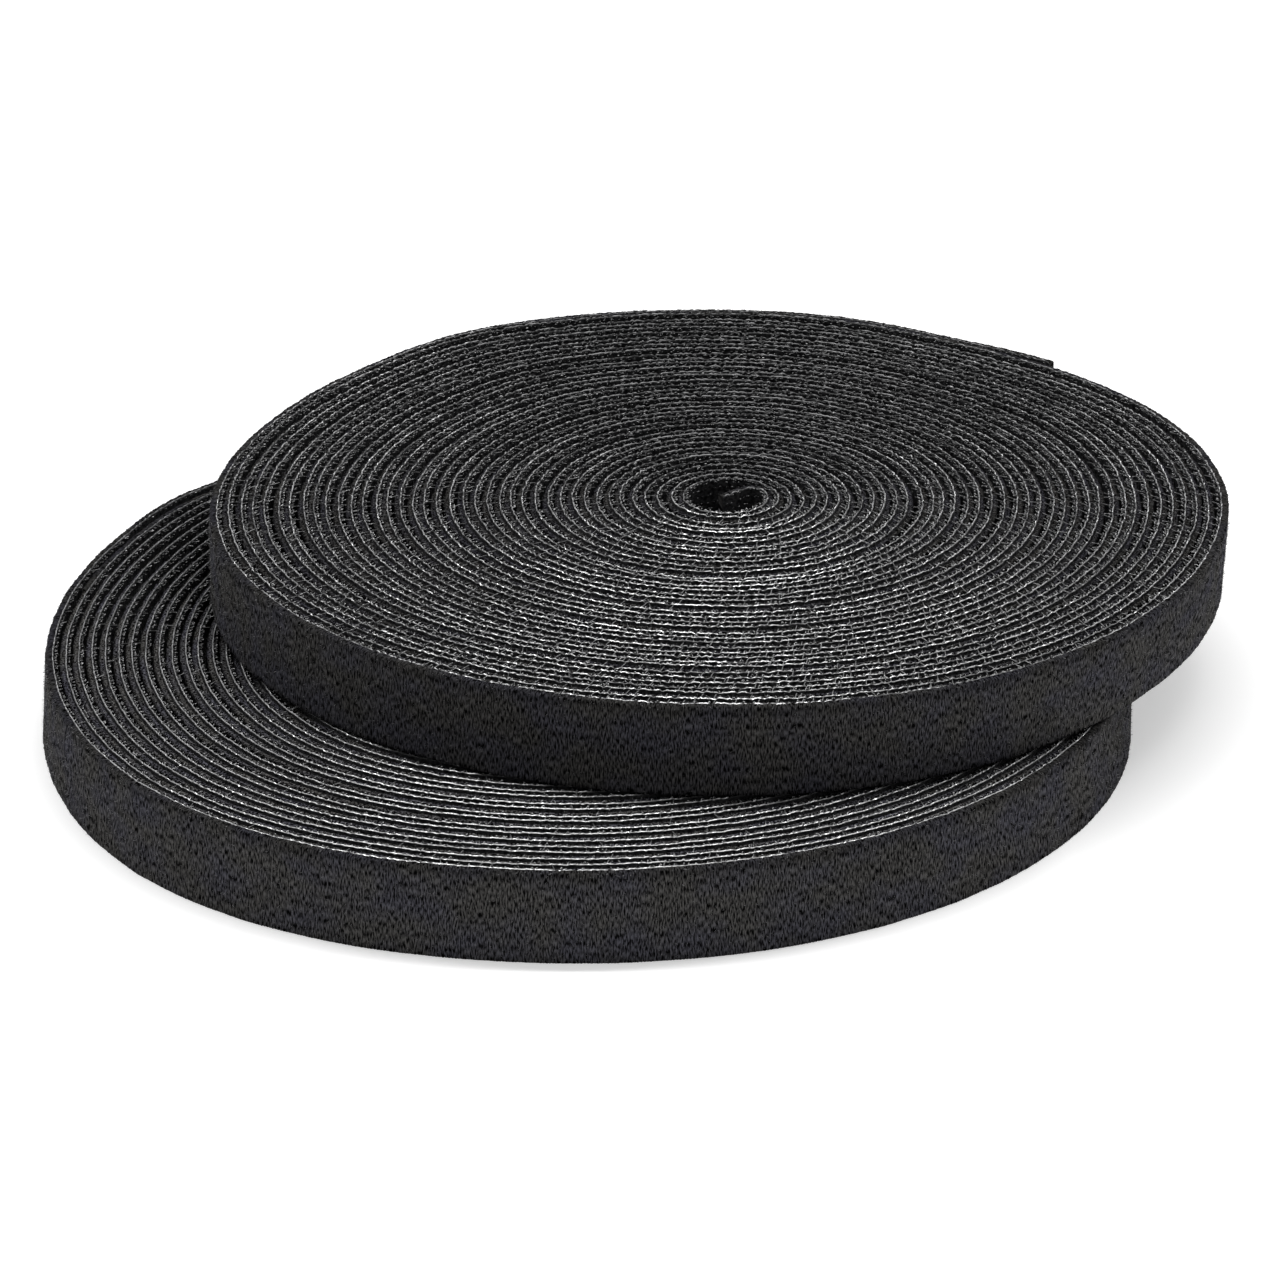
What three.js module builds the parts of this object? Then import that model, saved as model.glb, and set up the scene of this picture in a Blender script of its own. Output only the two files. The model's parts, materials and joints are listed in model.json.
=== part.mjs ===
// Two coreless rolls of back-to-back hook and loop strap, one lying flat on the other.
// Millimetres, +Z up. The origin is the middle of the stack's box, at floor level.
import * as THREE from 'three';

// The strap: a loop ply that faces out of the roll and a hook ply that faces in, bonded back to back.
const strapWidth = 19.05;
const strapLength = 13716;
const loopPlyThickness = 1.15;
const hookPlyThickness = 0.9;
const plyGap = 0.3;

// The rolls: both hold the same length of strap, and the lower one is wound more loosely.
const boreRadius = 6.7;
const upperTurnPitch = 2.385;
const lowerTurnPitch = 2.725;
const upperOffsetRight = 26.5;
const upperOffsetBack = 26;
const stackGap = 0.3;

// The upper roll's bore lies off the middle of its outline, and its loops even that out on the way.
const upperBoreRight = 2.3;
const upperBoreBack = 1.25;

// The winding: fewer and thicker loops than the strap makes, in one unbroken spiral.
const drawnLoops = 24;
const stepsPerLoop = 22;
const loopGap = 0.6;

// The outer end of the strap, which peels off its roll. Angles run from +X towards +Y.
const tailLength = 70;
const tailRootGap = 0.3;
const upperTailAngle = 46.2;
const lowerTailAngle = 100;

// The inner end of the strap, which leaves the first loop and curls across the bore.
const innerEndAngle = 22;
const innerRootGap = 0.5;
const innerCurlRadius = 2.75;
const innerCurlTurn = 113;
const innerCurlSteps = 7;
const innerEndRun = 5.5;

const strapThickness = loopPlyThickness + plyGap + hookPlyThickness;
const fullTurn = 360;

const loopPileColour = 0x15151a;
const hookColour = 0x1d1d22;
const windingColour = 0x19191d;

function polar(angle, radius) {
  const turned = THREE.MathUtils.degToRad(angle);
  return new THREE.Vector2(radius * Math.cos(turned), radius * Math.sin(turned));
}

// The sizes of one roll. Its loops are counted outwards from the inner end, clockwise from above.
function rollSizes(turnPitch, tailAngle, boreCentre) {
  const radius = Math.sqrt(boreRadius ** 2 + strapLength * turnPitch / Math.PI);
  const shortfall = THREE.MathUtils.euclideanModulo(tailAngle - innerEndAngle, fullTurn);
  const sweep = drawnLoops * fullTurn - shortfall;
  const loopPitch = (radius - boreRadius + loopGap) / (sweep / fullTurn + 1);
  const tailSpan = THREE.MathUtils.radToDeg(tailLength / radius);
  const rootSpan = THREE.MathUtils.radToDeg(tailRootGap / radius);
  const tailStart = sweep - tailSpan;
  return { boreCentre, loopPitch, sweep, tailStart, windingEnd: tailStart - rootSpan };
}

// A point of the spiral, some way round from the inner end and some depth below the loop's outer face.
function spiralPoint(sizes, sweep, depth) {
  const outerFace = boreRadius + sizes.loopPitch * (sweep / fullTurn + 1) - loopGap;
  const point = polar(innerEndAngle - sweep, outerFace - depth);
  return point.addScaledVector(sizes.boreCentre, 1 - sweep / sizes.sweep);
}

// Sweeps from one value to another, in the steps that all loops share.
function sweepsBetween(from, to) {
  const step = fullTurn / stepsPerLoop;
  const sweeps = [];
  for (let sweep = from; sweep < to; sweep += step) {
    sweeps.push(sweep);
  }
  sweeps.push(to);
  return sweeps;
}

// A flat strip on edge, as wide as the strap, between a left and a right outline of its run.
function stripGeometry(left, right) {
  const corners = [];
  const faces = [];
  left.forEach((point, index) => {
    const other = right[index];
    corners.push(point.x, point.y, 0, point.x, point.y, strapWidth);
    corners.push(other.x, other.y, strapWidth, other.x, other.y, 0);
  });
  const last = 4 * (left.length - 1);
  for (let section = 0; section < last; section += 4) {
    for (let side = 0; side < 4; side += 1) {
      const here = section + side;
      const beside = section + (side + 1) % 4;
      faces.push(here, beside, beside + 4, here, beside + 4, here + 4);
    }
  }
  faces.push(0, 3, 2, 0, 2, 1);
  faces.push(last, last + 1, last + 2, last, last + 2, last + 3);
  const geometry = new THREE.BufferGeometry();
  geometry.setAttribute('position', new THREE.Float32BufferAttribute(corners, 3));
  geometry.setIndex(faces);
  geometry.computeVertexNormals();
  return geometry;
}

function strapMesh(name, geometry, colour) {
  const material = new THREE.MeshStandardMaterial({ color: colour, roughness: 0.95, metalness: 0 });
  const mesh = new THREE.Mesh(geometry, material);
  mesh.name = name;
  return mesh;
}

function distanceToSegment(point, start, end) {
  const run = end.clone().sub(start);
  const along = THREE.MathUtils.clamp(point.clone().sub(start).dot(run) / run.lengthSq(), 0, 1);
  return point.distanceTo(start.clone().addScaledVector(run, along));
}

// The least gap between each loop's inner face and the loop inside it, on points along the faces.
function leastLoopGap(sweeps, outerFace, innerFace) {
  let least = Infinity;
  for (let index = 1; index < sweeps.length; index += 1) {
    const middle = innerFace[index].clone().lerp(innerFace[index - 1], 0.5);
    for (let below = 1; below < index; below += 1) {
      const turnsBelow = (sweeps[index] - sweeps[below]) / fullTurn;
      if (turnsBelow > 0.5 && turnsBelow < 1.5) {
        const start = outerFace[below - 1];
        const end = outerFace[below];
        const gap = distanceToSegment(innerFace[index], start, end);
        least = Math.min(least, gap, distanceToSegment(middle, start, end));
      }
    }
  }
  return least;
}

function makeWinding(name, sizes) {
  const sweeps = sweepsBetween(0, sizes.windingEnd);
  const outerFace = sweeps.map((sweep) => spiralPoint(sizes, sweep, 0));
  const innerFace = sweeps.map((sweep) => spiralPoint(sizes, sweep, sizes.loopPitch - loopGap));
  const gap = leastLoopGap(sweeps, outerFace, innerFace);
  console.log(`${name}: least gap between its loops ${gap.toFixed(2)} mm`);
  return strapMesh(`${name}_winding`, stripGeometry(outerFace, innerFace), windingColour);
}

// The outer end carries on from the winding's last loop, with its loop ply flush with that loop.
function makeTail(name, sizes) {
  const sweeps = sweepsBetween(sizes.tailStart, sizes.sweep);
  const face = (depth) => sweeps.map((sweep) => spiralPoint(sizes, sweep, depth));
  const loopPly = stripGeometry(face(0), face(loopPlyThickness));
  const hookPly = stripGeometry(face(loopPlyThickness + plyGap), face(strapThickness));
  return [
    strapMesh(`${name}_tail_loop_ply`, loopPly, loopPileColour),
    strapMesh(`${name}_tail_hook_ply`, hookPly, hookColour),
  ];
}

// The middle line of the inner end: out of the first loop, round the curl and across the bore.
function innerEndLine(boreCentre) {
  const root = polar(innerEndAngle, boreRadius + strapThickness / 2).add(boreCentre);
  root.addScaledVector(polar(innerEndAngle + 90, 1), innerRootGap);
  const curlCentre = root.clone().addScaledVector(polar(innerEndAngle, 1), -innerCurlRadius);
  const line = [];
  for (let step = 0; step <= innerCurlSteps; step += 1) {
    const facing = innerEndAngle + innerCurlTurn * step / innerCurlSteps;
    line.push({ point: curlCentre.clone().addScaledVector(polar(facing, 1), innerCurlRadius), facing });
  }
  const facing = innerEndAngle + innerCurlTurn;
  const tip = line[innerCurlSteps].point.clone().addScaledVector(polar(facing + 90, 1), innerEndRun);
  line.push({ point: tip, facing });
  return line;
}

function makeInnerEnd(name, sizes) {
  const line = innerEndLine(sizes.boreCentre);
  const face = (depth) => line.map(({ point, facing }) => (
    point.clone().addScaledVector(polar(facing, 1), strapThickness / 2 - depth)
  ));
  const loopPly = stripGeometry(face(loopPlyThickness), face(0));
  const hookPly = stripGeometry(face(strapThickness), face(loopPlyThickness + plyGap));
  return [
    strapMesh(`${name}_inner_loop_ply`, loopPly, loopPileColour),
    strapMesh(`${name}_inner_hook_ply`, hookPly, hookColour),
  ];
}

function makeRoll(name, turnPitch, tailAngle, boreCentre) {
  const sizes = rollSizes(turnPitch, tailAngle, boreCentre);
  const roll = new THREE.Group();
  roll.add(makeWinding(name, sizes));
  roll.add(...makeTail(name, sizes));
  roll.add(...makeInnerEnd(name, sizes));
  return roll;
}

const upperBore = new THREE.Vector2(upperBoreRight, upperBoreBack);
const lowerRoll = makeRoll('lower', lowerTurnPitch, lowerTailAngle, new THREE.Vector2());
const upperRoll = makeRoll('upper', upperTurnPitch, upperTailAngle, upperBore);
upperRoll.position.set(upperOffsetRight, upperOffsetBack, strapWidth + stackGap);

const stack = new THREE.Group();
stack.add(lowerRoll, upperRoll);
const middle = new THREE.Box3().setFromObject(stack).getCenter(new THREE.Vector3());
stack.position.set(-middle.x, -middle.y, 0);
stack.updateMatrixWorld(true);

export default stack;
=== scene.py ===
# Two coreless rolls of black hook and loop strap, one lying flat on the other.
# Metres, +Z up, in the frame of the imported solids.
import json
import math

import bpy
import numpy as np
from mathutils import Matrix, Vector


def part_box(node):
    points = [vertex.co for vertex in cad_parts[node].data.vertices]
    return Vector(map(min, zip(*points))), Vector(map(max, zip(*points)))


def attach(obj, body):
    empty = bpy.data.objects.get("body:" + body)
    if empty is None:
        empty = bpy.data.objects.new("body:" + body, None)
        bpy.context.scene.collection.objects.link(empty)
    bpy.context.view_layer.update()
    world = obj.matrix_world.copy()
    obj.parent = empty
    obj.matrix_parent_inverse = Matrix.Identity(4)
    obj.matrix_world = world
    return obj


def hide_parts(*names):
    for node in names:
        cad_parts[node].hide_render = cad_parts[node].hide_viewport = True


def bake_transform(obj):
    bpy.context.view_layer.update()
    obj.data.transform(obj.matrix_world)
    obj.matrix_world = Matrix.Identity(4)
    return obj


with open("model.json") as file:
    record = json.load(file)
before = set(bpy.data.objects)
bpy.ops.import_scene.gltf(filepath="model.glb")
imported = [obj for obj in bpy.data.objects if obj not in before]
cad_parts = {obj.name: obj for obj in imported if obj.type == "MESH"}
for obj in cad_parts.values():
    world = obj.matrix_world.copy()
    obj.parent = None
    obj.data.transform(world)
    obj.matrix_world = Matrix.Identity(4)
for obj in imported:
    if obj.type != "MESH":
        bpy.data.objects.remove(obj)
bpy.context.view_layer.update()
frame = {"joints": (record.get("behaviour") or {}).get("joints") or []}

MM = 0.001
FULL_TURN = 2 * math.pi

# The strap. Depths are counted outwards from the hook tips, which face the middle of the roll.
STRAP_WIDTH = 19.05 * MM
HOOK_HEIGHT = 0.95 * MM
WEB_THICKNESS = 0.27 * MM
PILE_HEIGHT = 1.29 * MM
WEB_INNER = HOOK_HEIGHT
WEB_OUTER = HOOK_HEIGHT + WEB_THICKNESS
WEB_MIDDLE = HOOK_HEIGHT + WEB_THICKNESS / 2
STRAP_THICKNESS = WEB_OUTER + PILE_HEIGHT

# Steps along the strap: the woven edge, the pile, and the pile where it is the roll's wall.
WEB_STEP = 0.5 * MM
PILE_STEP = 1.4 * MM
WALL_STEP = 0.22 * MM

# The winding, clockwise from above. Angles run from +X towards +Y.
BORE_RADIUS = 6.7 * MM
INNER_END_ANGLE = math.radians(22)
SPACING_WANDER = 0.3 * MM
SPACING_WANDER_TURNS = 0.8
RIPPLE = 0.11 * MM
RIPPLE_RUN = 6 * MM
TURN_RISE = 0.26 * MM
TURN_RISE_TURNS = 0.7
EDGE_RISE = 0.07 * MM
EDGE_RISE_RUN = 16 * MM

# The outer end, which peels off, and the inner end, which curls across the bore.
TAIL_LENGTH = 70 * MM
TAIL_OVERLAP = 25 * MM
TAIL_BEND = 12 * MM
TAIL_LIFT = 1.1 * MM
TAIL_LIFT_RUN = 30 * MM
CURL_RADIUS = 2.75 * MM
CURL_TURN = math.radians(113)
INNER_RUN = 5.5 * MM

# The inner end's hinge in the solids lies on the strap's middle, half a gap past its root.
SOLID_STRAP_THICKNESS = 2.35 * MM
SOLID_ROOT_GAP = 0.5 * MM

# The woven edge has a ridge near the hook side and slopes down to both faces, with small beads.
EDGE_RIDGE = 0.07 * MM
EDGE_RIDGE_DROP = 0.14 * MM
EDGE_SLOPE = 0.11 * MM
EDGE_BEAD = 0.12 * MM
EDGE_DIP = 0.26 * MM
EDGE_DIP_RUN = 0.6 * MM
# The yarn's colour holds a painted highlight a short reach below the edges; its real gloss reaches further.
EDGE_PAINTED_HIGHLIGHT = 0.34 * MM
EDGE_GLOSS = 0.6 * MM
EDGE_FADE = 0.17 * MM
EDGE_DULL = 0.2 * MM
YARN_WEAR = 1.0
YARN_SPREAD = 0.16

# The pile is rounded at both edges, below the woven edge.
PILE_EDGE_DROP = 0.85 * MM
PILE_SHOULDER = 0.5 * MM
PILE_LUMP = 0.22 * MM
WALL_EDGE_DROP = 0.2 * MM
WALL_SHOULDER = 0.5 * MM
WALL_FLOOR_DROP = 0.0 * MM
WALL_FLOOR_SHOULDER = 0.1 * MM
WALL_LEVELS = 20
RIB_PITCH = 0.62 * MM
RIB_DEPTH = 0.15 * MM
RIB_SWAY = 0.5
RIB_SWAY_GRAIN = (5 * MM, 4 * MM)
RIB_FADE_GRAIN = (3 * MM, 3 * MM)
TUFT_DEPTH = 0.08 * MM
TUFT_GRAIN = (0.5 * MM, 3.6 * MM)
TUFT_SHIFT = 1.5 * MM
TUFT_SHIFT_GRAIN = (1.1 * MM, 8 * MM)

# Shades of the pile, each at a distance below the strap's edge. The distance is counted over the pile's top
# and down its face. On the wall they give a darker band under the top edge; between the turns they are
# painted shade, darker deeper in the gap.
WALL_SHADES = [(3.4 * MM, 1.0), (1.5 * MM, 0.42)]
PILE_PAINTED_SHADE = [(2.4 * MM, 0.1), (1.5 * MM, 1.0)]
# How light the pile is, and how much darker it is painted per unit of a roll's wear: painted light that
# makes the lower roll's pile lighter than the upper's.
PILE_LIGHT = 0.16
PILE_PAINTED_DIMMING = 0.1

# Hooks are bent filaments in rows, and strays are hooks pulled straight. Fibres are loose ends of the pile.
# The spread of the hooks' heights and the lengths of the fibres are in millimetres.
HOOK_RADIUS = 0.095 * MM
HOOK_SPACING = 1.41 * MM
HOOK_ROW_PITCH = 1.5 * MM
HOOK_EDGE_MARGIN = 0.5 * MM
HOOK_FLOOR_MARGIN = 0.5 * MM
HOOK_BEND = [(0, 0), (0.62, 0.05), (0.98, 0.36), (0.68, 0.66)]
HOOK_REACH = (0.6, 0.95)
HOOK_RISE = 0.55
HOOK_ROOT = 0.05 * MM
HOOK_PLACE_SPREAD = 0.4
HOOK_HEIGHT_SPREAD = (-0.24, 0.06)
HOOK_YAW_SPREAD = 0.8
HOOK_OTHER_WAY_SHARE = 0.2
HOOK_YAW_RISE = 0.15
HOOK_TAPER = np.array([1.0, 1.0, 0.95, 0.8])
STRAY_SPACING = 3.6 * MM
STRAY_MARGIN = 0.42 * MM
STRAY_BEND = [(0, 0), (0.5, 0.12), (0.9, 0.3), (1.0, 0.36)]
STRAY_REACH = (1.4, 2.2)
STRAY_RISE = 0.23
FIBRE_RADIUS = 0.035 * MM
FIBRE_TAPER = np.array([1.0, 0.9, 0.4])
FIBRE_LEAN = 0.45
FIBRE_BEND = 0.9
WALL_FIBRE_LENGTH = (0.5, 1.1)
WALL_FIBRE_ROOT = 0.3 * MM
WALL_FIBRE_MARGIN = 0.3 * MM
EDGE_FIBRE_LENGTH = (0.4, 0.8)
EDGE_FIBRE_ROOT = 0.2 * MM
EDGE_FIBRE_PLACES = (0.1, 0.95)
WALL_FIBRES_PER_ROLL = 13500
EDGE_FIBRES_PER_ROLL = 13500

# The two rolls: the radius out to the pile, the whole turns, where the outer end stops, how worn the edges
# are and where the random draws start.
LOWER_RADIUS = 109.7 * MM
LOWER_TURNS = 36
LOWER_TAIL_ANGLE = math.radians(100)
LOWER_WEAR = 0.5
LOWER_SEED = 10
UPPER_RADIUS = 102.7 * MM
UPPER_TURNS = 38
UPPER_TAIL_ANGLE = math.radians(46.2)
UPPER_WEAR = 1.0
UPPER_SEED = 20
UPPER_BORE_SHIFT = (2.3 * MM, 1.25 * MM)

# The light: each lamp's name, place, width, depth and power, and the level of the world and the floor.
LAMPS = [
    ("spark", (0.0, 0.15, 1.4), 2.2, 0.12, 16),
    ("soft", (-0.1, -0.1, 1.5), 1.6, 1.2, 5),
    ("left", (-1.15, 0.6, 0.5), 0.8, 0.6, 2.4),
    ("right", (1.15, 0.6, 0.5), 0.8, 0.6, 3.8),
]
WORLD_STRENGTH = 0.25
FLOOR_SIZE = 6
FLOOR_GREY = 0.78
FLOOR_GLOW = 0.41

# The camera, at the photograph's viewing angle.
IMAGE_SIZE = 1273
FOCAL_PIXELS = 8254.9
SENSOR = 36.0
CAMERA_DISTANCE = 1650 * MM
CAMERA_ELEVATION = math.radians(24.034)
CAMERA_TARGET = (1.785 * MM, 0.3 * MM, 14.794 * MM)


def smooth_step(value):
    value = np.clip(value, 0, 1)
    return value * value * (3 - 2 * value)


def smooth_noise(place, spacing, seed):
    """Values from -1 to 1 along a line: random at even steps and smooth between them."""
    knots = np.random.default_rng(seed).uniform(-1, 1, 40000)
    steps = np.asarray(place) / spacing + 1000
    index = np.floor(steps).astype(int)
    blend = smooth_step(steps - index)
    return knots[index] * (1 - blend) + knots[index + 1] * blend


def smooth_noise_2d(across, up, spacing_across, spacing_up, seed):
    """Values from -1 to 1 over a sheet: random on an even grid and smooth between its points."""
    grid = np.random.default_rng(seed).uniform(-1, 1, (9000, 80))
    steps_across = np.asarray(across) / spacing_across
    steps_up = np.asarray(up) / spacing_up + 2
    column = np.floor(steps_across).astype(int)
    row = np.floor(steps_up).astype(int)
    blend_across = smooth_step(steps_across - column)
    blend_up = smooth_step(steps_up - row)
    column = column % (len(grid) - 1)
    low = grid[column, row] * (1 - blend_across) + grid[column + 1, row] * blend_across
    high = grid[column, row + 1] * (1 - blend_across) + grid[column + 1, row + 1] * blend_across
    return low * (1 - blend_up) + high * blend_up


def polar(angle, radius):
    return np.array([radius * math.cos(angle), radius * math.sin(angle)])


def local_sum(angle, places):
    """The sum of some local forms round a roll. Each has a size, a middle angle and a spread."""
    total = 0
    for size, middle, spread in places:
        away = (angle - middle + math.pi) % FULL_TURN - math.pi
        total = total + size * np.exp(-(away / spread) ** 2)
    return total


def joint_place(name):
    found = [joint for joint in frame["joints"] if joint["name"] == name]
    return np.array(found[0]["pos_m"])


class Roll:
    """One wound strap: where it lies, how it is wound and how its outline departs from a circle."""

    def __init__(self, name, radius, whole_turns, tail_angle, bore_shift, waves, bulges, leans, wear, seed):
        self.name = name
        self.wear = wear
        self.seed = seed
        self.body = f"{name}_roll"
        self.turns = whole_turns + (INNER_END_ANGLE - tail_angle) % FULL_TURN / FULL_TURN
        self.sweep = self.turns * FULL_TURN
        self.pitch = (radius - BORE_RADIUS) / (self.turns + 1)
        self.bore_shift = np.array(bore_shift)
        self.outline_waves = waves
        self.outline_bulges = bulges
        self.wall_leans = leans
        self.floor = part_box(f"{name}_winding")[0].z
        hinge = joint_place(f"{name}_inner_flex")[:2]
        hinge = hinge - polar(INNER_END_ANGLE, BORE_RADIUS + SOLID_STRAP_THICKNESS / 2)
        self.bore = hinge - polar(INNER_END_ANGLE + math.pi / 2, SOLID_ROOT_GAP / 2)
        self.axis = self.bore - self.bore_shift
        self.length = self.length_at(self.sweep)

    def length_at(self, sweep):
        return self.pitch * sweep ** 2 / (2 * FULL_TURN) + (BORE_RADIUS + WEB_MIDDLE) * sweep

    def sweep_at(self, length):
        square = self.pitch / (2 * FULL_TURN)
        linear = BORE_RADIUS + WEB_MIDDLE
        return (np.sqrt(linear ** 2 + 4 * square * np.maximum(length, 0)) - linear) / (2 * square)

    def outline(self, angle):
        waves = sum(size * np.cos(order * angle - phase) for order, size, phase in self.outline_waves)
        return waves + local_sum(angle, self.outline_bulges)

    def lean(self, angle):
        return local_sum(angle, self.wall_leans)


class Run:
    """A stretch of strap on edge. Each station has its length along the strap, where the hook tips lie, the
    angle that the pile faces, how far the bottom edge leans out and how far the top edge stands proud."""

    def __init__(self, length, x, y, facing, lean, rise, floor):
        self.length = length
        self.x = x
        self.y = y
        self.facing = facing
        self.lean = lean
        self.rise = rise
        self.floor = floor

    def at(self, lengths):
        columns = (self.x, self.y, self.facing, self.lean, self.rise)
        return Run(lengths, *(np.interp(lengths, self.length, column) for column in columns), self.floor)

    def places(self, depth, height):
        """Points at a depth from the hook tips and a height on the strap, one per station or several."""
        several = np.ndim(depth) == 2 or np.ndim(height) == 2
        columns = (self.x, self.y, self.facing, self.lean, self.rise)
        x, y, facing, lean, rise = (column[:, None] if several else column for column in columns)
        share = height / STRAP_WIDTH
        out = depth + lean * (1 - share)
        up = self.floor + height + rise * share
        place = np.broadcast_arrays(x + out * np.cos(facing), y + out * np.sin(facing), up)
        return np.stack(place, axis=-1)

    def outward(self):
        return np.stack([np.cos(self.facing), np.sin(self.facing), np.zeros_like(self.facing)], axis=-1)

    def along(self):
        return np.stack([np.sin(self.facing), -np.cos(self.facing), np.zeros_like(self.facing)], axis=-1)


def wound_run(roll, start, end, step):
    """The strap in the winding and the outer end, between two lengths from the root of the inner end."""
    length = np.linspace(start, end, max(2, round((end - start) / step) + 1))
    sweep = roll.sweep_at(length)
    turn = sweep / FULL_TURN
    angle = INNER_END_ANGLE - sweep
    share = sweep / roll.sweep
    settle = np.minimum(turn, 1)
    radius = BORE_RADIUS + roll.pitch * turn + share ** 2 * roll.outline(angle)
    radius += SPACING_WANDER * roll.wear * settle * smooth_noise(turn, SPACING_WANDER_TURNS, roll.seed)
    radius += RIPPLE * settle * smooth_noise(length, RIPPLE_RUN, roll.seed + 1)
    radius += TAIL_LIFT * smooth_step((length - roll.length) / TAIL_LIFT_RUN + 1)
    rise = TURN_RISE * settle * (smooth_noise(turn, TURN_RISE_TURNS, roll.seed + 2) - 0.4)
    rise += EDGE_RISE * settle * smooth_noise(length, EDGE_RISE_RUN, roll.seed + 3)
    x = roll.axis[0] + roll.bore_shift[0] * (1 - share) + radius * np.cos(angle)
    y = roll.axis[1] + roll.bore_shift[1] * (1 - share) + radius * np.sin(angle)
    return Run(length, x, y, angle, share ** 4 * roll.lean(angle), rise, roll.floor)


def inner_run(roll, step):
    """The inner end, from its tip across the bore and round its curl to the root at the first turn."""
    root = roll.bore + polar(INNER_END_ANGLE, BORE_RADIUS)
    tip_radius = CURL_RADIUS - SOLID_STRAP_THICKNESS / 2
    centre = root - polar(INNER_END_ANGLE, tip_radius)
    curl_length = CURL_RADIUS * CURL_TURN
    length = np.linspace(-curl_length - INNER_RUN, 0, round((curl_length + INNER_RUN) / step) + 1)
    turned = np.minimum(-length, curl_length) / CURL_RADIUS
    facing = INNER_END_ANGLE + turned
    straight = np.maximum(-length - curl_length, 0)
    x = centre[0] + tip_radius * np.cos(facing) - straight * np.sin(facing)
    y = centre[1] + tip_radius * np.sin(facing) + straight * np.cos(facing)
    level = np.zeros_like(length)
    return Run(length, x, y, facing, level, level, roll.floor)


def mesh_piece(name, points, face_sets, material, uv_maps=None):
    """A mesh object from arrays: each face set is one row of corners per face."""
    corners = np.concatenate([faces.ravel() for faces in face_sets]).astype(np.int32)
    sizes = np.concatenate([np.full(len(faces), faces.shape[1]) for faces in face_sets])
    mesh = bpy.data.meshes.new(name)
    mesh.vertices.add(len(points))
    mesh.vertices.foreach_set("co", points.astype(np.float32).ravel())
    mesh.loops.add(len(corners))
    mesh.loops.foreach_set("vertex_index", corners)
    mesh.polygons.add(len(sizes))
    mesh.polygons.foreach_set("loop_start", np.concatenate([[0], np.cumsum(sizes)[:-1]]).astype(np.int32))
    mesh.materials.append(material)
    for uv_name, values in (uv_maps or {}).items():
        layer = mesh.uv_layers.new(name=uv_name)
        layer.uv.foreach_set("vector", values.astype(np.float32).ravel())
    mesh.update(calc_edges=True)
    piece = bpy.data.objects.new(name, mesh)
    bpy.context.scene.collection.objects.link(piece)
    return piece


def baked_rows(stations, around):
    """Corners of each quad of a ribbon in a square map: the strap's length in rows, one under the other."""
    rows = max(1, math.isqrt((stations - 1) // around))
    per_row = math.ceil((stations - 1) / rows)
    station = np.arange(stations - 1)[:, None, None]
    side = np.arange(around)[None, :, None]
    across = (station % per_row + np.array([0, 1, 1, 0])) / per_row
    up = (station // per_row + (side + np.array([0.1, 0.1, 0.9, 0.9])) / around) / rows
    return np.stack(np.broadcast_arrays(across, up), axis=-1).reshape(-1, 2)


def ribbon(name, run, depth, height, material, up=None):
    """A closed strip along a run. Depth and height hold its section at each station, from the bottom up the
    inner side first. Up is how far each point lies across the strap's face, where that isn't its height."""
    stations, around = depth.shape
    points = run.places(depth, height).reshape(-1, 3)
    station = np.arange(stations - 1)[:, None] * around
    here = station + np.arange(around)
    beside = station + (np.arange(around) + 1) % around
    quads = np.stack([here, here + around, beside + around, beside], axis=-1).reshape(-1, 4)
    start_cap = np.arange(around)[None, :]
    end_cap = (stations - 1) * around + start_cap[:, ::-1]
    across = height if up is None else up
    strap = np.stack([np.repeat(run.length, around), across.ravel()], axis=-1)
    corners = np.concatenate([quads.ravel(), start_cap.ravel(), end_cap.ravel()])
    baked = np.concatenate([baked_rows(stations, around), np.zeros((2 * around, 2))])
    uv_maps = {"strap": strap[corners], "OFBake": baked}
    return mesh_piece(name, points, [quads, start_cap, end_cap], material, uv_maps)


def tubes(name, paths, radii, across, material):
    """Thin closed three-sided tubes along paths. Across is a vector square to each path."""
    count, rings = paths.shape[:2]
    along = np.gradient(paths, axis=1)
    along /= np.linalg.norm(along, axis=2, keepdims=True)
    side = across[:, None, :] - np.sum(across[:, None, :] * along, axis=2, keepdims=True) * along
    side /= np.linalg.norm(side, axis=2, keepdims=True)
    other = np.cross(along, side)
    turn = np.arange(3) * FULL_TURN / 3
    ring = np.cos(turn)[:, None] * side[:, :, None, :] + np.sin(turn)[:, None] * other[:, :, None, :]
    points = paths[:, :, None, :] + np.asarray(radii)[None, :, None, None] * ring
    first = (np.arange(count * rings).reshape(count, rings)[:, :-1] * 3)[:, :, None]
    here = first + np.arange(3)
    beside = first + (np.arange(3) + 1) % 3
    quads = np.stack([here, beside, beside + 3, here + 3], axis=-1).reshape(-1, 4)
    base = np.arange(count)[:, None] * rings * 3
    start_caps = base + np.array([2, 1, 0])
    end_caps = base + (rings - 1) * 3 + np.arange(3)
    return mesh_piece(name, points.reshape(-1, 3), [quads, start_caps, end_caps], material)


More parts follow.
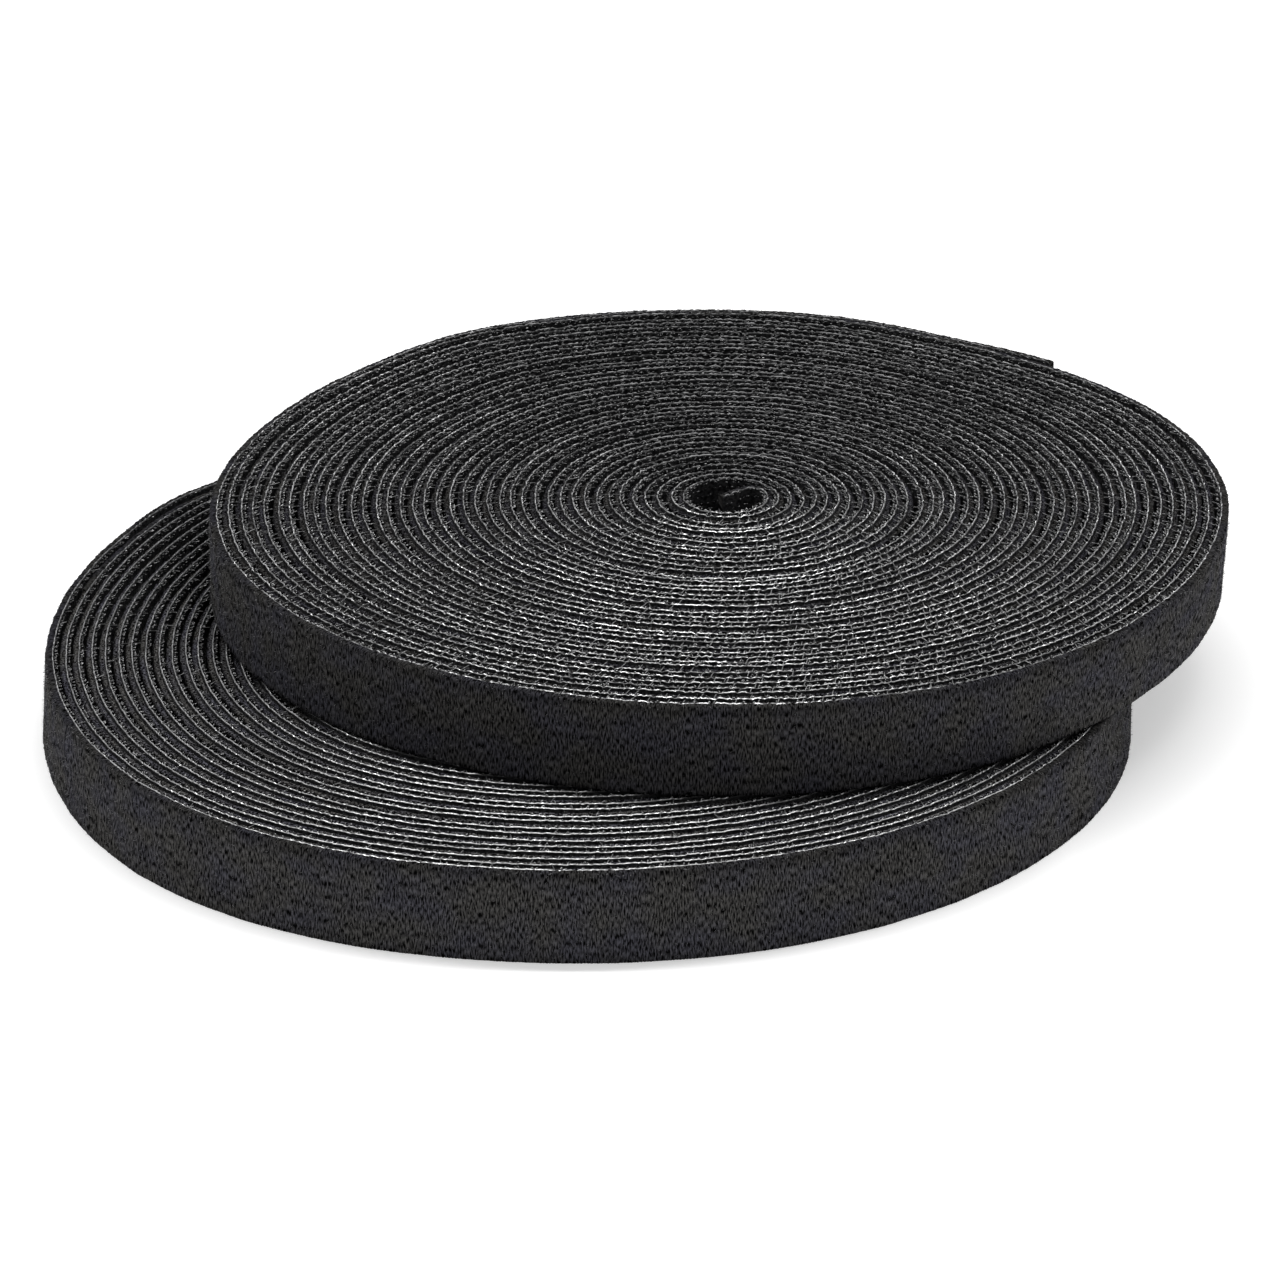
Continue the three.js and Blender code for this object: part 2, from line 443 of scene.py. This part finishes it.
def web_piece(name, run, wear, material, seed):
    """The woven web that carries both faces, with beads along its two edges."""
    random = np.random.default_rng(seed)
    stations = len(run.length)
    ridge = WEB_INNER + EDGE_RIDGE
    section = [WEB_INNER, WEB_INNER, ridge, ridge + EDGE_RIDGE / 3, WEB_OUTER, WEB_OUTER, WEB_MIDDLE]
    depth = np.tile(section, (stations, 1))
    drops = np.array([EDGE_RIDGE_DROP, 0, 0, EDGE_SLOPE])
    height = np.tile(np.concatenate([[EDGE_RIDGE], STRAP_WIDTH - drops, [EDGE_RIDGE, 0]]), (stations, 1))
    bead = wear * EDGE_BEAD * random.uniform(-1, 1, (stations, 3))
    dip = wear * EDGE_DIP * smooth_step(smooth_noise(run.length, EDGE_DIP_RUN, seed) * 2 - 0.4)
    height[:, 1:5] += bead[:, 1:2] - EDGE_BEAD - dip[:, None]
    height[:, 6] += EDGE_BEAD + bead[:, 2]
    depth[:, 1:5] += bead[:, :1]
    # The outer face is counted further from the edge, so the painted highlight and the gloss end sooner on
    # it.
    dull = np.array([0, 0, 0, 0, 1, 1, 0]) * EDGE_DULL
    web = ribbon(name, run, depth, height, material, height - dull)
    web.data.shade_flat()
    return web


def pile_piece(name, run, material, seed):
    """The loop pile between two turns, lumpy along its top and bottom edges."""
    random = np.random.default_rng(seed)
    stations = len(run.length)
    top = STRAP_WIDTH - PILE_EDGE_DROP
    shares = np.array([0.0, 0.0, 0.35, 0.75, 1.0, 1.0, 0.75, 0.35])
    drops = np.array([0.05, 0.05, 0.0, 0.1, 1.0, 1.0, 0.1, 0.0]) * PILE_SHOULDER
    upper = np.array([0, 1, 1, 1, 1, 0, 0, 0])
    lumps = random.uniform(0, 1, (stations, len(shares))) * PILE_LUMP
    depth = WEB_OUTER + shares * PILE_HEIGHT - shares * lumps * 0.5
    height = np.where(upper, top - drops - lumps, PILE_EDGE_DROP + drops + lumps)
    return ribbon(name, run, depth, height, material, height - np.where(upper, 1, -1) * (depth - WEB_OUTER))


def wall_piece(name, run, material, seed):
    """The loop pile where it is the roll's outer wall: fine upright ribs, broken up into tufts."""
    shoulder = np.array([0.0, 0.4, 0.8, 1.0])
    rounding = 1 - np.sqrt(1 - 0.95 * shoulder ** 2)
    top = STRAP_WIDTH - WALL_EDGE_DROP - WALL_SHOULDER * rounding
    bottom = WALL_FLOOR_DROP + WALL_FLOOR_SHOULDER * rounding
    face = np.linspace(top[-1], bottom[-1], WALL_LEVELS + 2)[1:-1]
    shares = np.concatenate([[0.0], shoulder, np.ones(WALL_LEVELS), shoulder[:0:-1]])
    heights = np.concatenate([bottom[:1], top, face, bottom[:0:-1]])
    length = run.length[:, None]
    depth = np.tile(WEB_OUTER + shares * PILE_HEIGHT, (len(run.length), 1))
    height = np.tile(heights, (len(run.length), 1))
    phase = RIB_SWAY * smooth_noise_2d(length, height, *RIB_SWAY_GRAIN, seed)
    ribs = np.cos(FULL_TURN * (length / RIB_PITCH + phase))
    strength = 0.5 + 0.5 * smooth_noise_2d(length, height, *RIB_FADE_GRAIN, seed + 1)
    shifted = height + TUFT_SHIFT * smooth_noise_2d(length, height, *TUFT_SHIFT_GRAIN, seed + 5)
    tufts = smooth_noise_2d(length, shifted, *TUFT_GRAIN, seed + 2)
    depth += shares * (RIB_DEPTH * strength * ribs + TUFT_DEPTH * tufts)
    half = np.where(heights > STRAP_WIDTH / 2, 1, -1)
    height -= np.where(half > 0, 1 - 0.5 * shares, 0) * PILE_LUMP * (0.2 - 0.7 * tufts)
    turned = 2 * heights / STRAP_WIDTH - 1
    return ribbon(name, run, depth, height, material, height - turned * (depth - WEB_OUTER))


def hook_paths(run, row_height, spacing, bend, reach, rise, random):
    """One row of filaments on the web's inner face. Each leans one way along the strap or the other."""
    start, end = run.length[0], run.length[-1]
    count = max(2, int((end - start) / spacing))
    place = start + (np.arange(count) + 0.5) * (end - start) / count
    place = place + random.uniform(-HOOK_PLACE_SPREAD, HOOK_PLACE_SPREAD, count) * spacing
    station = run.at(np.clip(place, start, end))
    height = row_height + random.uniform(*HOOK_HEIGHT_SPREAD, count) * MM
    root = station.places(np.full(count, WEB_INNER + HOOK_ROOT), height)
    yaw = random.uniform(-HOOK_YAW_SPREAD, HOOK_YAW_SPREAD, count)
    yaw = yaw + np.where(random.uniform(size=count) < HOOK_OTHER_WAY_SHARE, 0, math.pi)
    up = np.array([0.0, 0.0, 1.0])
    sideways = np.cos(yaw)[:, None] * station.along() + HOOK_YAW_RISE * np.sin(yaw)[:, None] * up
    inward = rise * up - station.outward()
    size = random.uniform(*reach, count)[:, None] * HOOK_HEIGHT
    path = np.stack([root + size * (a * inward + b * sideways) for a, b in bend], axis=1)
    return path, np.cross(inward, sideways)


def hook_piece(name, run, row_heights, material, seed):
    """Rows of hooks, one above the other."""
    random = np.random.default_rng(seed)
    rows = []
    for height in row_heights:
        rows.append(hook_paths(run, height, HOOK_SPACING, HOOK_BEND, HOOK_REACH, HOOK_RISE, random))
    paths, across = (np.concatenate(parts) for parts in zip(*rows))
    return tubes(name, paths, HOOK_RADIUS * HOOK_TAPER, across, material)


def stray_piece(name, run, spacing, material, seed):
    """Hooks along the top edge that are pulled straight and reach over to the next turn."""
    random = np.random.default_rng(seed)
    height = STRAP_WIDTH - STRAY_MARGIN
    paths, across = hook_paths(run, height, spacing, STRAY_BEND, STRAY_REACH, STRAY_RISE, random)
    return tubes(name, paths, HOOK_RADIUS * HOOK_TAPER, across, material)


def fibre_paths(root, out, length, random):
    """Short fibres that leave a surface along out and bend over in a random direction."""
    count = len(root)
    drift = random.normal(0, 1, (count, 3))
    first = out + FIBRE_LEAN * drift
    second = first + FIBRE_BEND * random.normal(0, 1, (count, 3))
    first *= (length / 2 / np.linalg.norm(first, axis=1))[:, None]
    second *= (length / 2 / np.linalg.norm(second, axis=1))[:, None]
    paths = np.stack([root, root + first, root + first + second], axis=1)
    return paths, np.cross(first, second) + 1e-9


def wall_fibre_piece(name, run, count, material, seed):
    """Loose fibres that stand out of the roll's wall."""
    random = np.random.default_rng(seed)
    station = run.at(random.uniform(run.length[0], run.length[-1], count))
    height = random.uniform(WALL_FIBRE_MARGIN, STRAP_WIDTH - WALL_FIBRE_MARGIN, count)
    root = station.places(np.full(count, STRAP_THICKNESS - WALL_FIBRE_ROOT), height)
    length = random.uniform(*WALL_FIBRE_LENGTH, count) * MM
    paths, across = fibre_paths(root, station.outward(), length, random)
    paths[:, :, 2] = np.maximum(paths[:, :, 2], run.floor + 2 * FIBRE_RADIUS)
    return tubes(name, paths, FIBRE_RADIUS * FIBRE_TAPER, across, material)


def edge_fibre_piece(name, run, count, material, seed):
    """Loose fibres along the top edge of the pile."""
    random = np.random.default_rng(seed)
    station = run.at(random.uniform(run.length[0], run.length[-1], count))
    depth = WEB_OUTER + random.uniform(*EDGE_FIBRE_PLACES, count) * PILE_HEIGHT
    root = station.places(depth, np.full(count, STRAP_WIDTH - PILE_EDGE_DROP - EDGE_FIBRE_ROOT))
    up = np.tile([0.0, 0.0, 1.0], (count, 1))
    length = random.uniform(*EDGE_FIBRE_LENGTH, count) * MM
    paths, across = fibre_paths(root, up, length, random)
    return tubes(name, paths, FIBRE_RADIUS * FIBRE_TAPER, across, material)


def new_material(name):
    material = bpy.data.materials.new(name)
    material.use_nodes = True
    nodes = material.node_tree.nodes
    return material, nodes, material.node_tree.links, nodes["Principled BSDF"]


def noise_node(nodes, links, vector, scale, detail):
    node = nodes.new("ShaderNodeTexNoise")
    node.inputs["Scale"].default_value = scale
    node.inputs["Detail"].default_value = detail
    links.new(vector, node.inputs["Vector"])
    return node.outputs["Fac"]


def ramp_node(nodes, links, value, stops):
    node = nodes.new("ShaderNodeValToRGB")
    ramp = node.color_ramp
    while len(ramp.elements) < len(stops):
        ramp.elements.new(0.5)
    for element, (position, colour) in zip(ramp.elements, stops):
        element.position = position
        element.color = (*colour, 1)
    links.new(value, node.inputs["Fac"])
    return node.outputs["Color"]


def bump_node(nodes, links, height, distance, strength):
    node = nodes.new("ShaderNodeBump")
    node.inputs["Distance"].default_value = distance
    node.inputs["Strength"].default_value = strength
    links.new(height, node.inputs["Height"])
    return node.outputs["Normal"]


def range_node(nodes, links, value, low, high, start=0.0, end=1.0):
    node = nodes.new("ShaderNodeMapRange")
    node.inputs["From Min"].default_value = start
    node.inputs["From Max"].default_value = end
    node.inputs["To Min"].default_value = low
    node.inputs["To Max"].default_value = high
    links.new(value, node.inputs["Value"])
    return node.outputs["Result"]


def multiply_node(nodes, links, one, other):
    node = nodes.new("ShaderNodeMix")
    node.data_type = "RGBA"
    node.blend_type = "MULTIPLY"
    node.inputs["Factor"].default_value = 1.0
    links.new(one, node.inputs["A"])
    links.new(other, node.inputs["B"])
    return node.outputs["Result"]


def strap_coordinates(nodes, links, along, up):
    """The strap's own coordinates: its length times one scale, its height times another."""
    uv = nodes.new("ShaderNodeUVMap")
    uv.uv_map = "strap"
    mapping = nodes.new("ShaderNodeMapping")
    mapping.inputs["Scale"].default_value = (along, up, 1)
    links.new(uv.outputs["UV"], mapping.inputs["Vector"])
    return mapping.outputs["Vector"]


def near_edge_node(nodes, links, from_middle, reach):
    """One near the strap's edges, and zero from some reach below them on."""
    node = nodes.new("ShaderNodeMapRange")
    node.interpolation_type = "SMOOTHSTEP"
    node.inputs["From Min"].default_value = STRAP_WIDTH / 2 - reach
    node.inputs["From Max"].default_value = STRAP_WIDTH / 2 - reach + EDGE_FADE
    links.new(from_middle, node.inputs["Value"])
    return node.outputs["Result"]


def web_material(name, worn_share):
    """The woven web: a dull dark ground, and edges of nylon yarn whose colour holds a painted highlight,
    with real gloss, where they aren't worn.
    """
    material, nodes, links, shader = new_material(name)
    weft = noise_node(nodes, links, strap_coordinates(nodes, links, 1100, 1500), 1.0, 1.0)
    wear = noise_node(nodes, links, strap_coordinates(nodes, links, 16, 1), 1.0, 3.0)
    worn = nodes.new("ShaderNodeMath")
    worn.operation = "MULTIPLY_ADD"
    worn.inputs[1].default_value = YARN_WEAR * worn_share
    links.new(wear, worn.inputs[0])
    links.new(weft, worn.inputs[2])
    usual = 0.5 + 0.5 * YARN_WEAR * worn_share
    gloss = range_node(nodes, links, worn.outputs[0], 0.0, 1.0, usual - YARN_SPREAD, usual + YARN_SPREAD)
    split = nodes.new("ShaderNodeSeparateXYZ")
    links.new(strap_coordinates(nodes, links, 1, 1), split.inputs[0])
    ground = ramp_node(nodes, links, weft, [(0.3, (0.008, 0.008, 0.009)), (0.66, (0.055, 0.055, 0.057))])
    # Painted highlight: the edges' colour turns light along with their gloss, standing in for the sparkle
    # of light off the yarn.
    painted_highlight = ramp_node(nodes, links, gloss, [(0.0, (0.014, 0.014, 0.015)), (1.0, (0.7, 0.7, 0.71))])
    from_middle = nodes.new("ShaderNodeMath")
    from_middle.operation = "SUBTRACT"
    from_middle.inputs[1].default_value = STRAP_WIDTH / 2
    links.new(split.outputs["Y"], from_middle.inputs[0])
    distance = nodes.new("ShaderNodeMath")
    distance.operation = "ABSOLUTE"
    links.new(from_middle.outputs[0], distance.inputs[0])
    both = nodes.new("ShaderNodeMix")
    both.data_type = "RGBA"
    links.new(near_edge_node(nodes, links, distance.outputs[0], EDGE_PAINTED_HIGHLIGHT), both.inputs["Factor"])
    links.new(ground, both.inputs["A"])
    links.new(painted_highlight, both.inputs["B"])
    links.new(both.outputs["Result"], shader.inputs["Base Color"])
    links.new(range_node(nodes, links, gloss, 0.6, 0.2), shader.inputs["Roughness"])
    links.new(bump_node(nodes, links, weft, 0.12 * MM, 0.7), shader.inputs["Normal"])
    dull = 1 - 0.7 * worn_share
    tint = ramp_node(nodes, links, gloss, [(0.0, (dull, dull, dull)), (1.0, (1, 1, 1))])
    glossy = near_edge_node(nodes, links, distance.outputs[0], EDGE_GLOSS)
    links.new(multiply_node(nodes, links, tint, glossy), shader.inputs["Specular Tint"])
    shader.inputs["IOR"].default_value = 2.3
    shader.inputs["Specular IOR Level"].default_value = 1.0
    return material


def pile_material(name, along, upright, dark, light, spread, tint, shades):
    """Brushed loop pile: black and dull, with short upright streaks and faint cool and warm patches."""
    material, nodes, links, shader = new_material(name)
    streaks = noise_node(nodes, links, strap_coordinates(nodes, links, along, upright), 1.0, 3.0)
    patches = noise_node(nodes, links, strap_coordinates(nodes, links, 90, 130), 1.0, 2.0)
    tones = [(0.51 - spread, (dark, dark, dark)), (0.51 + spread, (light, light, light))]
    grey = ramp_node(nodes, links, streaks, tones)
    colours = ramp_node(nodes, links, patches, [(0.33, (0.95, 0.94, 1 + tint)), (0.6, (1.03, 1.0, 0.97))])
    split = nodes.new("ShaderNodeSeparateXYZ")
    links.new(strap_coordinates(nodes, links, 1, 1 / STRAP_WIDTH), split.inputs[0])
    # The shades: painted shade deeper in the gaps between turns, and a darker band under the wall's top
    # edge.
    stops = [(1 - below / STRAP_WIDTH, (shade, shade, shade)) for below, shade in shades]
    shade = ramp_node(nodes, links, split.outputs["Y"], stops)
    shaded = multiply_node(nodes, links, grey, shade)
    links.new(multiply_node(nodes, links, shaded, colours), shader.inputs["Base Color"])
    links.new(bump_node(nodes, links, streaks, 0.2 * MM, 0.8), shader.inputs["Normal"])
    shader.inputs["Roughness"].default_value = 1.0
    shader.inputs["Specular IOR Level"].default_value = 0.0
    return material


def filament_material(name, dark, light, share, roughness, bending, grain):
    """Nylon filament: dark, with brighter stretches of colour that are painted highlights."""
    material, nodes, links, shader = new_material(name)
    place = nodes.new("ShaderNodeTexCoord").outputs["Object"]
    # Painted highlight: stretches of each filament are coloured light, standing in for the sparkle of light
    # off it.
    painted_glint = noise_node(nodes, links, place, grain, 1.0)
    colour = ramp_node(nodes, links, painted_glint, [(share, dark), (share + 0.06, light)])
    links.new(colour, shader.inputs["Base Color"])
    links.new(range_node(nodes, links, painted_glint, roughness + 0.1, roughness - 0.1), shader.inputs["Roughness"])
    shader.inputs["IOR"].default_value = bending
    shader.inputs["Specular IOR Level"].default_value = 0.8
    return material


def finish_piece(piece, replaced=()):
    if replaced:
        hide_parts(*replaced)
    return piece


def dress_winding(roll, looks):
    """All that the winding shows: web, pile, wall, hooks and fibres, which ride on the roll."""
    name = roll.name
    seed = roll.seed + 100
    tail_root = roll.length - TAIL_LENGTH
    end = tail_root - TAIL_OVERLAP
    wall_start = roll.length_at(roll.sweep - FULL_TURN) - TAIL_LENGTH - 2 * TAIL_OVERLAP
    middle = end / 2
    hook_rows = {
        "hooks_top": STRAP_WIDTH - HOOK_EDGE_MARGIN,
        "hooks_second": STRAP_WIDTH - HOOK_EDGE_MARGIN - 0.35 * HOOK_ROW_PITCH,
        "hooks_bottom": HOOK_FLOOR_MARGIN,
    }
    bore_rows = np.arange(HOOK_FLOOR_MARGIN, STRAP_WIDTH, HOOK_ROW_PITCH)
    whole = wound_run(roll, 0, end, WEB_STEP)
    wall = wound_run(roll, wall_start, end, WALL_STEP)
    outer = wound_run(roll, roll.length_at(roll.sweep - FULL_TURN), end, WEB_STEP)
    first_turn = wound_run(roll, 0, roll.length_at(FULL_TURN), WEB_STEP)
    second_turn_on = wound_run(roll, roll.length_at(FULL_TURN), end, WEB_STEP)
    inner_half = wound_run(roll, 0, middle, WEB_STEP)
    outer_half = wound_run(roll, middle, end, WEB_STEP)
    inner_web = web_piece(f"{name}_web_inner", inner_half, roll.wear, looks["web"], seed)
    finish_piece(inner_web, [f"{name}_winding"])
    pieces = [inner_web]
    outer_web = web_piece(f"{name}_web_outer", outer_half, roll.wear, looks["web"], seed + 1)
    pieces.append(finish_piece(outer_web))
    pile = pile_piece(f"{name}_pile", wound_run(roll, 0, wall_start, PILE_STEP), looks["pile"], seed + 2)
    pieces.append(finish_piece(pile))
    pieces.append(finish_piece(wall_piece(f"{name}_wall", wall, looks["wall"], seed + 3)))
    for index, (row_name, height) in enumerate(hook_rows.items()):
        row = hook_piece(f"{name}_{row_name}", whole, [height], looks["hook"], seed + 20 + index)
        pieces.append(finish_piece(row))
    spacing = STRAY_SPACING / roll.wear ** 2
    strays = stray_piece(f"{name}_hooks_stray", second_turn_on, spacing, looks["stray"], seed + 30)
    pieces.append(finish_piece(strays))
    bore = hook_piece(f"{name}_bore_hooks", first_turn, bore_rows, looks["hook"], seed + 9)
    pieces.append(finish_piece(bore))
    look = looks["wall_fibre"]
    fuzz = wall_fibre_piece(f"{name}_wall_fibres", outer, WALL_FIBRES_PER_ROLL, look, seed + 10)
    pieces.append(finish_piece(fuzz))
    look = looks["edge_fibre"]
    edge = edge_fibre_piece(f"{name}_edge_fibres", whole, EDGE_FIBRES_PER_ROLL, look, seed + 11)
    pieces.append(finish_piece(edge))
    for piece in pieces:
        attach(piece, roll.body)


def dress_end(roll, part, run, wall_step_run, looks, seed):
    """A free end of the strap, with both faces whole, laid along a run that lifts or curls away from its
    roll.
    """
    name = f"{roll.name}_{part}"
    rows = np.arange(HOOK_FLOOR_MARGIN, STRAP_WIDTH, HOOK_ROW_PITCH)
    fibres = round(WALL_FIBRES_PER_ROLL * (run.length[-1] - run.length[0]) / (FULL_TURN * 100 * MM))
    web = web_piece(f"{name}_web", run, roll.wear, looks["web"], seed)
    pile = wall_piece(f"{name}_pile", wall_step_run, looks["wall"], seed + 1)
    hooks = hook_piece(f"{name}_hooks", run, rows, looks["hook"], seed + 4)
    fuzz = wall_fibre_piece(f"{name}_fibres", run, fibres, looks["wall_fibre"], seed + 5)
    finish_piece(web)
    finish_piece(pile, [f"{name}_loop_ply"])
    finish_piece(hooks, [f"{name}_hook_ply"])
    finish_piece(fuzz)
    for piece in (web, pile, hooks, fuzz):
        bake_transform(piece)


def dress_tail(roll, looks):
    start = roll.length - TAIL_LENGTH - TAIL_OVERLAP
    run = wound_run(roll, start, roll.length, WEB_STEP)
    fine = wound_run(roll, start, roll.length, WALL_STEP)
    root = run.at(np.array([roll.length - TAIL_LENGTH]))
    bend = TAIL_BEND * root.along()[0]
    dress_end(roll, "tail", run, fine, looks, roll.seed + 200)


def dress_inner_end(roll, looks):
    run = inner_run(roll, WEB_STEP)
    fine = inner_run(roll, WALL_STEP)
    dress_end(roll, "inner", run, fine, looks, roll.seed + 300)


def wave(order, size, phase):
    return order, size * MM, math.radians(phase)


def local(size, middle, spread):
    return size * MM, math.radians(middle), math.radians(spread)


def make_rolls():
    lower_waves = [
        wave(1, 0.56, 56),
        wave(2, 0.53, -127),
        wave(3, 1.48, -19),
        wave(4, 0.47, 155),
        wave(5, 0.26, 25),
    ]
    upper_waves = [
        wave(1, 0.67, 5),
        wave(2, 0.73, -51),
        wave(3, 0.78, -36),
        wave(4, 0.94, 73),
        wave(5, 0.34, 134),
    ]
    lower_bulges = [local(1.5, 139, 9), local(0.5, 180, 14)]
    upper_bulges = [local(1.5, 121, 11), local(1.6, 74, 12)]
    lower_leans = [local(1.2, 172, 25), local(0.3, 285, 18)]
    upper_leans = [local(-3.1, 325, 32)]
    lower_place = (LOWER_TAIL_ANGLE, (0, 0))
    lower_form = (LOWER_RADIUS, LOWER_TURNS, *lower_place, lower_waves, lower_bulges, lower_leans)
    upper_place = (UPPER_TAIL_ANGLE, UPPER_BORE_SHIFT)
    upper_form = (UPPER_RADIUS, UPPER_TURNS, *upper_place, upper_waves, upper_bulges, upper_leans)
    lower = Roll("lower", *lower_form, LOWER_WEAR, LOWER_SEED)
    upper = Roll("upper", *upper_form, UPPER_WEAR, UPPER_SEED)
    return lower, upper


def make_floor():
    """A plain pale floor that the camera sees as white where no shadow falls on it."""
    bpy.ops.mesh.primitive_plane_add(size=FLOOR_SIZE)
    floor = bpy.context.object
    floor.name = "floor"
    material, nodes, links, shader = new_material("floor")
    nodes.remove(shader)
    diffuse = nodes.new("ShaderNodeBsdfDiffuse")
    diffuse.inputs["Color"].default_value = (FLOOR_GREY, FLOOR_GREY, FLOOR_GREY, 1)
    glow = nodes.new("ShaderNodeEmission")
    glow.inputs["Strength"].default_value = FLOOR_GLOW
    dark = nodes.new("ShaderNodeEmission")
    dark.inputs["Strength"].default_value = 0.0
    seen = nodes.new("ShaderNodeMixShader")
    links.new(seen_rays(nodes, links), seen.inputs["Fac"])
    links.new(dark.outputs[0], seen.inputs[1])
    links.new(glow.outputs[0], seen.inputs[2])
    both = nodes.new("ShaderNodeAddShader")
    links.new(diffuse.outputs[0], both.inputs[0])
    links.new(seen.outputs[0], both.inputs[1])
    links.new(both.outputs[0], nodes["Material Output"].inputs["Surface"])
    floor.data.materials.append(material)


def seen_rays(nodes, links):
    """One for rays that come from the camera, a gloss or a glass, and zero for the rest."""
    path = nodes.new("ShaderNodeLightPath")
    total = path.outputs["Is Camera Ray"]
    for name in ("Is Glossy Ray", "Is Transmission Ray"):
        join = nodes.new("ShaderNodeMath")
        join.operation = "MAXIMUM"
        links.new(total, join.inputs[0])
        links.new(path.outputs[name], join.inputs[1])
        total = join.outputs[0]
    return total


def make_world():
    world = bpy.data.worlds.new("studio")
    bpy.context.scene.world = world
    world.use_nodes = True
    background = world.node_tree.nodes["Background"]
    background.inputs["Color"].default_value = (1, 1, 1, 1)
    background.inputs["Strength"].default_value = WORLD_STRENGTH


def make_lamp(name, place, width, depth, power):
    data = bpy.data.lights.new(name, "AREA")
    data.shape = "ELLIPSE"
    data.size = width
    data.size_y = depth
    data.energy = power
    lamp = bpy.data.objects.new(name, data)
    bpy.context.scene.collection.objects.link(lamp)
    lamp.location = place
    lamp.rotation_euler = (-lamp.location).to_track_quat("-Z", "Y").to_euler()


def make_camera():
    data = bpy.data.cameras.new("camera")
    data.sensor_fit = "HORIZONTAL"
    data.sensor_width = SENSOR
    data.lens = FOCAL_PIXELS / IMAGE_SIZE * SENSOR
    data.clip_end = 20
    camera = bpy.data.objects.new("camera", data)
    bpy.context.scene.collection.objects.link(camera)
    x, y, z = CAMERA_TARGET
    back = CAMERA_DISTANCE * math.cos(CAMERA_ELEVATION)
    up = CAMERA_DISTANCE * math.sin(CAMERA_ELEVATION)
    camera.location = (x, y - back, z + up)
    camera.rotation_euler = (math.pi / 2 - CAMERA_ELEVATION, 0, 0)
    bpy.context.scene.camera = camera


def main():
    bpy.context.scene.view_settings.view_transform = "Standard"
    make_camera()
    make_world()
    make_floor()
    for lamp in LAMPS:
        make_lamp(*lamp)
    # Each pair is a filament's dark colour and the light colour of its painted highlights.
    hook_greys = ((0.004, 0.004, 0.005), (0.8, 0.8, 0.805))
    stray_greys = ((0.02, 0.02, 0.021), (0.22, 0.22, 0.225))
    wall_fibre_greys = ((0.008, 0.008, 0.009), (0.3, 0.296, 0.304))
    edge_fibre_greys = ((0.004, 0.004, 0.005), (0.22, 0.22, 0.222))
    looks = {
        "wall": pile_material("wall_pile", 3800, 900, 0.001, 0.13, 0.11, 0.12, WALL_SHADES),
        "hook": filament_material("hook", *hook_greys, 0.53, 0.36, 1.5, 3800),
        "stray": filament_material("stray", *stray_greys, 0.52, 0.3, 2.0, 3600),
        "wall_fibre": filament_material("wall_fibre", *wall_fibre_greys, 0.52, 0.7, 1.7, 2400),
        "edge_fibre": filament_material("edge_fibre", *edge_fibre_greys, 0.53, 0.6, 1.7, 3600),
    }
    for roll in make_rolls():
        looks["web"] = web_material(f"{roll.name}_web", roll.wear)
        # Painted light: the lower roll's pile is painted lighter than the upper roll's, for the light its
        # gaps catch.
        light = PILE_LIGHT - PILE_PAINTED_DIMMING * roll.wear
        pile_name = f"{roll.name}_pile"
        looks["pile"] = pile_material(pile_name, 2500, 1900, 0.001, light, 0.05, 0.14, PILE_PAINTED_SHADE)
        dress_winding(roll, looks)
        dress_tail(roll, looks)
        dress_inner_end(roll, looks)


main()
